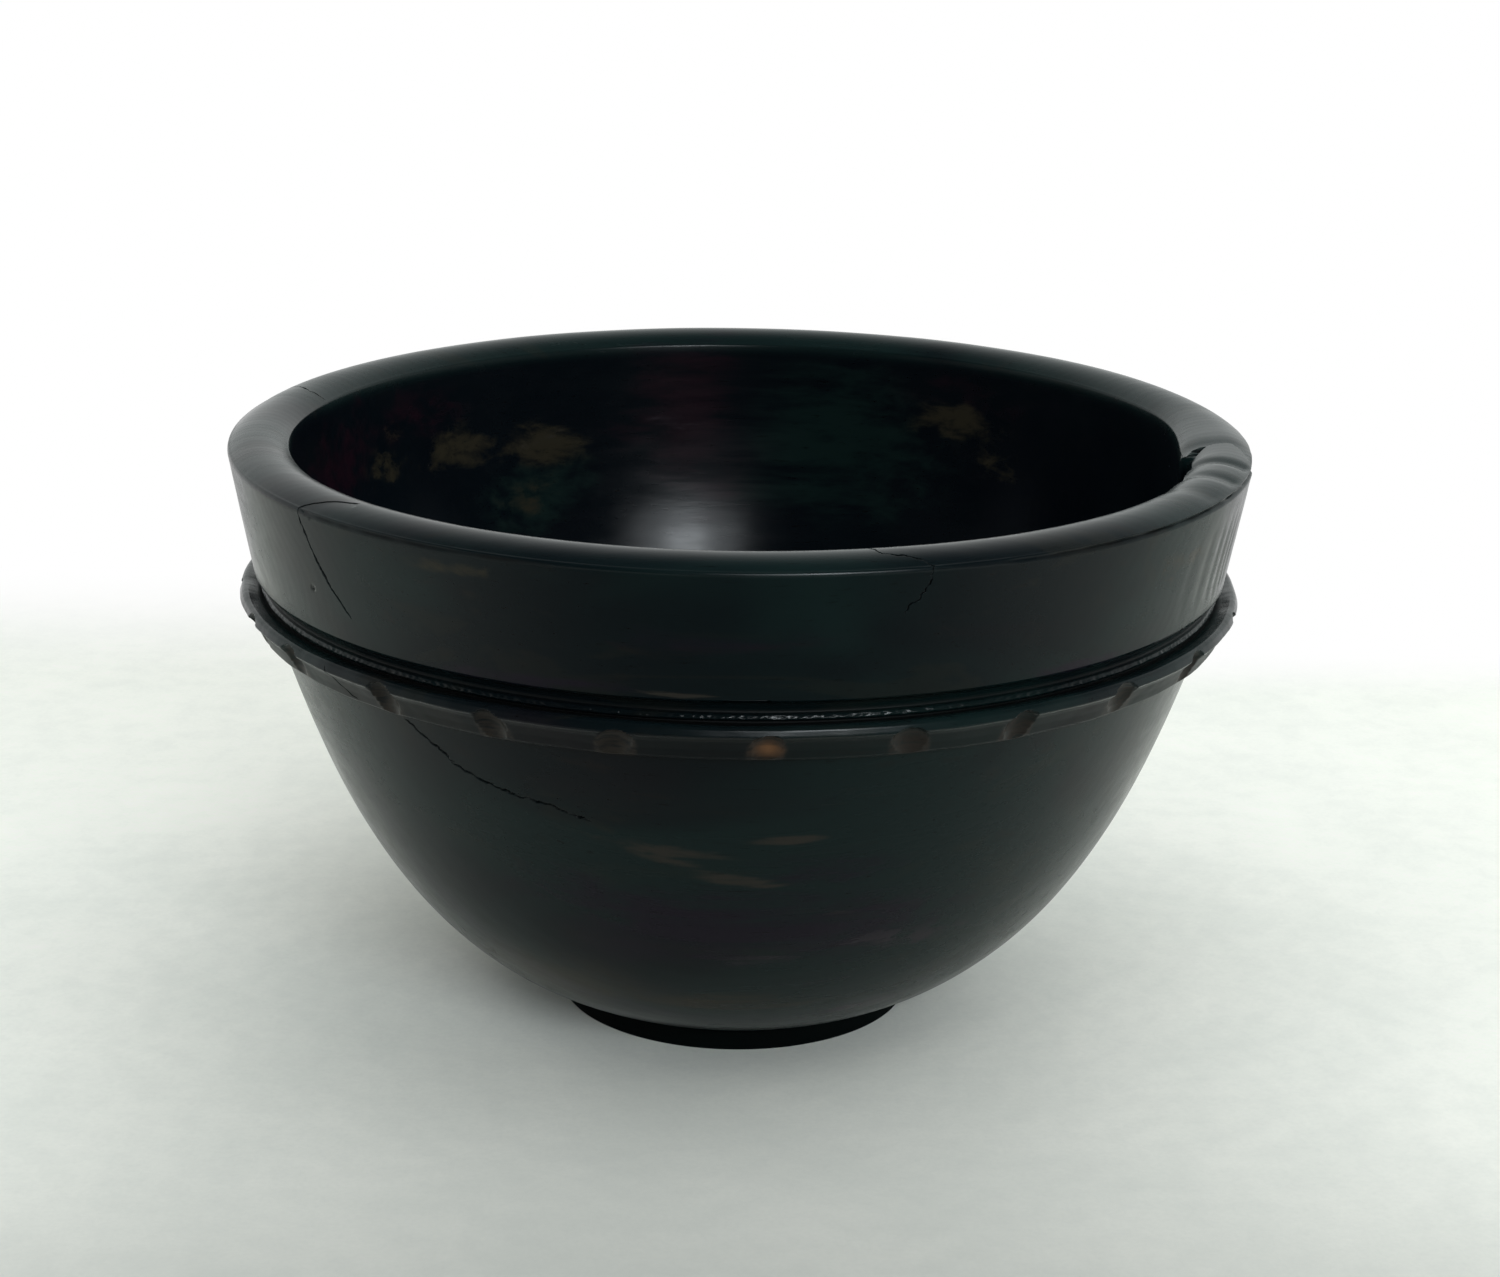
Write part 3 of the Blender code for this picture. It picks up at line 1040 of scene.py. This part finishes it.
def with_marks(n, grain, base):
    """Browner wood in the cuts, the worn spot, dark pores, and black painted shade in the cracks and
    corners.
    """
    base = n.mix(n.math("MULTIPLY", n.mask("cut"), n.fade(grain["fine"], 0.25, 0.6)), base, CUT)
    base = n.mix(n.math("MULTIPLY", n.mask("worn"), n.fade(grain["streak"], 0.3, 0.6)), base, WORN)
    base = n.mix(n.fade(grain["fine"], 0.60, 0.74, 0.0, 0.5), base, BLACK)
    # Black painted shade down in the cracks and wherever the painted shade mask is
    return n.mix(n.math("MAXIMUM", n.mask("crack"), n.mask("painted_shade")), base, BLACK)


def wood_roughness(n, grain, roughness):
    """Satin all over, duller in the cuts, pale patches, cracks and corners."""
    matt = n.fade(grain["broad"], 0.3, 0.7, roughness - 0.02, roughness + 0.05)
    matt = n.math("ADD", matt, n.fade(grain["streak"], 0.3, 0.7, -0.02, 0.04))
    matt = n.math("ADD", matt, n.math("MULTIPLY", n.mask("cut"), 0.16))
    matt = n.math("ADD", matt, n.math("MULTIPLY", n.mask("pale"), 0.10))
    dull = n.math("MULTIPLY", n.math("MAXIMUM", n.mask("crack"), n.mask("painted_shade")), 0.6)
    matt = n.math("ADD", matt, dull)
    return n.math("SUBTRACT", matt, n.math("MULTIPLY", n.mask("hollow"), 0.03))


def wood(name, roughness, pore_depth, shine):
    """Near-black stained wood under a worn satin finish."""
    material = bpy.data.materials.new(name)
    material.use_nodes = True
    n = Nodes(material.node_tree)
    grain = grain_noises(n)
    base = with_marks(n, grain, with_patches(n, grain, plain_wood(n, grain)))
    matt = wood_roughness(n, grain, roughness)
    streaks = n.math("MULTIPLY", grain["streak"], 0.5)
    height = n.math("ADD", streaks, n.math("MULTIPLY", grain["fine"], 0.5))
    bump = n.add("ShaderNodeBump", Strength=0.12, Distance=pore_depth, Height=height)
    shader = n.add("ShaderNodeBsdfPrincipled", Base_Color=base, Roughness=matt)
    n.put(shader.inputs["Normal"], bump.outputs[0])
    shader.inputs["Specular IOR Level"].default_value = shine
    shader.inputs["IOR"].default_value = FINISH_IOR
    output = n.add("ShaderNodeOutputMaterial")
    n.put(output.inputs["Surface"], shader.outputs[0])
    return material


# Light that the paper gives off, which stands for what a whole white room would send back
BOUNCE = 0.16

# Round this place in front of the bowl, out of the camera's view, the paper has painted shade, which
# stands for the shade on the camera's side and gives the bowl something dark to mirror there
PAINTED_SHADE_Y = -0.42


def distance_in_plane(n, x, y):
    return n.math("SQRT", n.math("ADD", n.math("POWER", x, 2.0), n.math("POWER", y, 2.0)))


def paper_colour(n, place, x, y):
    """Mottled and slightly crumpled paper with a fine grain, and painted shade in front of the bowl."""
    mottle = n.noise(place, 18.0, 6.0, 0.7)
    crumple = n.noise(place, 150.0, 4.0, 0.6)
    grain = n.noise(place, 900.0, 2.0, 0.6)
    base = n.mix(n.fade(mottle, 0.3, 0.7), colour(0.815, 0.845, 0.79), colour(0.89, 0.91, 0.85))
    base = n.mix(n.fade(crumple, 0.35, 0.7, 0.0, 0.16), base, colour(0.66, 0.69, 0.66))
    base = n.mix(n.fade(grain, 0.3, 0.8, 0.0, 0.14), base, colour(0.62, 0.66, 0.62))
    # Painted shade on the paper in front of the bowl
    away = distance_in_plane(n, x, n.math("ADD", y, -PAINTED_SHADE_Y))
    return n.mix(n.fade(away, 0.16, 0.42), colour(0.16, 0.17, 0.16), base)


def paper():
    """Pale greenish white paper, with painted shade in front of the bowl and round its foot, and white
    far behind it.
    """
    material = bpy.data.materials.new("paper")
    material.use_nodes = True
    n = Nodes(material.node_tree)
    place = n.add("ShaderNodeTexCoord").outputs["Object"]
    x, y, _ = n.add("ShaderNodeSeparateXYZ", Vector=place).outputs
    base = paper_colour(n, place, x, y)
    diffuse = n.add("ShaderNodeBsdfDiffuse", Color=base, Roughness=0.6)
    bounce = n.add("ShaderNodeEmission", Color=base)
    out = distance_in_plane(n, x, y)
    # The paper's glow fades close round the bowl: painted shade round its foot
    n.put(bounce.inputs["Strength"], n.fade(out, 0.06, 0.17, 0.02, BOUNCE))
    near = n.add("ShaderNodeAddShader")
    n.put(near.inputs[0], diffuse.outputs[0])
    n.put(near.inputs[1], bounce.outputs[0])
    far = n.add("ShaderNodeEmission", Color=colour(1.0, 1.0, 1.0), Strength=1.0)
    far_edge = n.fade(x, -0.15, 0.10, 0.30, 0.235)
    mixed = n.add("ShaderNodeMixShader")
    n.put(mixed.inputs[0], n.fade(y, 0.19, far_edge))
    n.put(mixed.inputs[1], near.outputs[0])
    n.put(mixed.inputs[2], far.outputs[0])
    output = n.add("ShaderNodeOutputMaterial")
    n.put(output.inputs["Surface"], mixed.outputs[0])
    return material


# ---- the bowl's pieces

def zones():
    """Each zone: node, slot, columns, material, and its (start, end, spacing) stretches."""
    starts = outline.starts
    inside = {z: outline.inside(z) for z in (BAND_Z, FILLET_Z, RING_Z)}
    mouth = starts["hollow"]
    body = wood("body_wood", 0.22, 0.00012, 0.235)
    carved = wood("carved_wood", 0.20, 0.00010, 0.24)
    lip = wood("lip_wood", 0.22, 0.00012, 0.25)
    # The foot's wood is a shaded copy: its low shine, with the black of the painted shade mask, stands
    # for deep shade under the bowl
    foot = wood("foot_wood", 0.34, 0.00012, 0.08)
    return [
        ("foot", "foot_wood", 448, foot, [(0.0, starts["wall"], 0.9)]),
        ("bowl_wall", "body_wood", 448, body,
         [(starts["wall"], starts["ring"], 0.9), (inside[RING_Z], outline.length, 1.5)]),
        ("carved_ring", "carved_wood", 1280, carved,
         [(starts["ring"], starts["fillet"], 0.26), (inside[FILLET_Z], inside[RING_Z], 0.9)]),
        ("ridge_fillet", "carved_wood", 1536, carved,
         [(starts["fillet"], starts["band"], 0.15), (inside[BAND_Z], inside[FILLET_Z], 0.9)]),
        ("upper_band", "body_wood", 1024, body,
         [(starts["band"], starts["lip"], 0.5), (mouth, inside[BAND_Z], 1.2)]),
        ("rim_lip", "lip_wood", 1280, lip, [(starts["lip"], mouth, 0.25)]),
    ]


def make_bowl():
    for node, slot_name, columns, material, intervals in zones():
        made, angle, s = zone_mesh(node + "_wood", intervals, columns)
        add_masks(made, angle, s)
        made.data.materials.append(material)
        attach(made, "root")
        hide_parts(node)


# ---- floor, light, camera

def make_floor():
    """Large square of paper under the bowl."""
    mesh = bpy.data.meshes.new("paper_floor")
    half = 3.0
    corners = [(-half, -half, 0), (half, -half, 0), (half, half, 0), (-half, half, 0)]
    mesh.from_pydata(corners, [], [(0, 1, 2, 3)])
    floor = bpy.data.objects.new("paper_floor", mesh)
    bpy.context.scene.collection.objects.link(floor)
    mesh.materials.append(paper())


def make_world():
    """A white room that is dark round the camera."""
    world = bpy.data.worlds.new("white_room")
    bpy.context.scene.world = world
    world.use_nodes = True
    n = Nodes(world.node_tree)
    direction = n.add("ShaderNodeTexCoord").outputs["Generated"]
    dark_elevation = math.radians(55.0)
    dark_centre = (0.0, -math.cos(dark_elevation), math.sin(dark_elevation))
    toward = n.add("ShaderNodeVectorMath")
    toward.operation = "DOT_PRODUCT"
    n.put(toward.inputs[0], direction)
    n.put(toward.inputs[1], dark_centre)
    strength = n.fade(toward.outputs["Value"], 0.0, 0.72, 1.0, 0.03)
    background = n.add("ShaderNodeBackground", Color=colour(0.97, 1.0, 0.99))
    n.put(background.inputs["Strength"], strength)
    output = n.add("ShaderNodeOutputWorld")
    n.put(output.inputs["Surface"], background.outputs[0])


def aim(light, place, target):
    """Hangs a light at a place, facing a target, both in metres."""
    made = bpy.data.objects.new(light.name, light)
    made.location = place
    made.rotation_euler = (Vector(target) - Vector(place)).to_track_quat("-Z", "Y").to_euler()
    bpy.context.scene.collection.objects.link(made)
    return made


def make_key_lights():
    """Window low over the camera's right shoulder: a bright core in a wide soft strip.

    The bowl mirrors both, and only the strip lights what is round it.
    """
    azimuth, elevation, distance = math.radians(17.0), math.radians(26.5), 1.3
    across = distance * math.cos(elevation)
    place = (across * math.sin(azimuth), -across * math.cos(azimuth), distance * math.sin(elevation))
    parts = (("core", 0.28, 0.17, 3.9), ("strip", 0.80, 0.26, 4.4))
    for name, width, height, power in parts:
        light = bpy.data.lights.new(name, "AREA")
        light.shape = "ELLIPSE"
        light.size = width
        light.size_y = height
        light.energy = power
        light.color = (0.90, 0.96, 1.0)
        made = aim(light, place, (0, 0, 0.08))
        made.visible_diffuse = name == "strip"


def make_window():
    """Wide light from the upper right.  It lights the paper, and the bowl doesn't mirror it."""
    light = bpy.data.lights.new("window", "AREA")
    light.size = 1.3
    light.energy = 4.2
    window = aim(light, (0.9, 0.1, 1.2), (0, 0, 0))
    window.visible_glossy = False


def make_ceiling():
    """Wide light overhead, for the paper alone in the same way."""
    light = bpy.data.lights.new("ceiling", "AREA")
    light.size = 2.6
    light.energy = 23.0
    ceiling = aim(light, (0.05, -0.1, 1.5), (0, 0, 0))
    ceiling.visible_glossy = False


# The photograph's camera, in metres and radians
CAMERA_PLACE = Vector((0.0, -0.594286, 0.256995))
CAMERA_PITCH = 0.299057
CAMERA_YAW = 0.0039817
CAMERA_ROLL = 0.0152369
CAMERA_LENS = 74.384


def make_camera():
    data = bpy.data.cameras.new("camera")
    data.sensor_width = 36.0
    data.sensor_fit = "HORIZONTAL"
    data.lens = CAMERA_LENS
    data.clip_start = 0.01
    camera = bpy.data.objects.new("camera", data)
    camera.location = CAMERA_PLACE
    turn = Euler((math.pi / 2 - CAMERA_PITCH, 0.0, -CAMERA_YAW)).to_matrix()
    roll = Euler((0.0, 0.0, CAMERA_ROLL)).to_matrix()
    camera.rotation_euler = (turn @ roll).to_euler()
    bpy.context.scene.collection.objects.link(camera)
    bpy.context.scene.camera = camera


make_bowl()
make_floor()
make_world()
make_key_lights()
make_window()
make_ceiling()
make_camera()
bpy.context.scene.view_settings.view_transform = "Standard"
